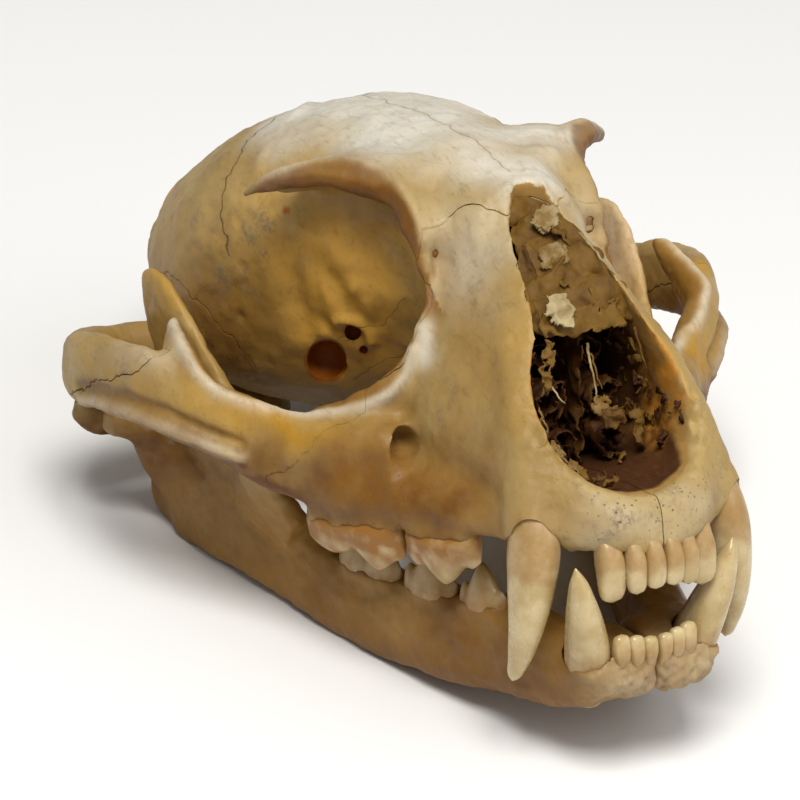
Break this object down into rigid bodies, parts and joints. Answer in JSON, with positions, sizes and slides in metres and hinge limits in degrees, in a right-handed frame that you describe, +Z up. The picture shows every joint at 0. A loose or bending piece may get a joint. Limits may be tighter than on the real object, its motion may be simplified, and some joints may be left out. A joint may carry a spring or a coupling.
{
  "type": "caracal skull",
  "caption": "Life-size museum model of a caracal skull, resting on its lower jaws with the mouth slightly open.",
  "frame": {"origin": "middle of the skull's footprint on the floor: the centre of its box in x and y, at the level of the flats of the lower jaws", "axes": "-Y is the way the muzzle points, +X is the animal's left, +Z is up"},
  "size_m": [0.0956, 0.1264, 0.0653],
  "materials": {
    "bone": "dry ivory bone, faintly glossy on its round faces",
    "enamel": "smooth ivory enamel with a soft gloss",
    "thin_bone": "dark stained paper-thin bone"
  },
  "bodies": {
    "root": {"braincase": "bone", "cheekbone_left": "bone", "cheekbone_right": "bone", "upper_jaw_left": "bone", "upper_jaw_right": "bone", "lower_jaw_left": "bone", "lower_jaw_right": "bone", "bulla_left": "bone", "bulla_right": "bone", "upper_canine_left": "enamel", "upper_canine_right": "enamel", "lower_canine_left": "enamel", "lower_canine_right": "enamel", "nose_scrolls": "thin_bone"}
  },
  "joints": []
}
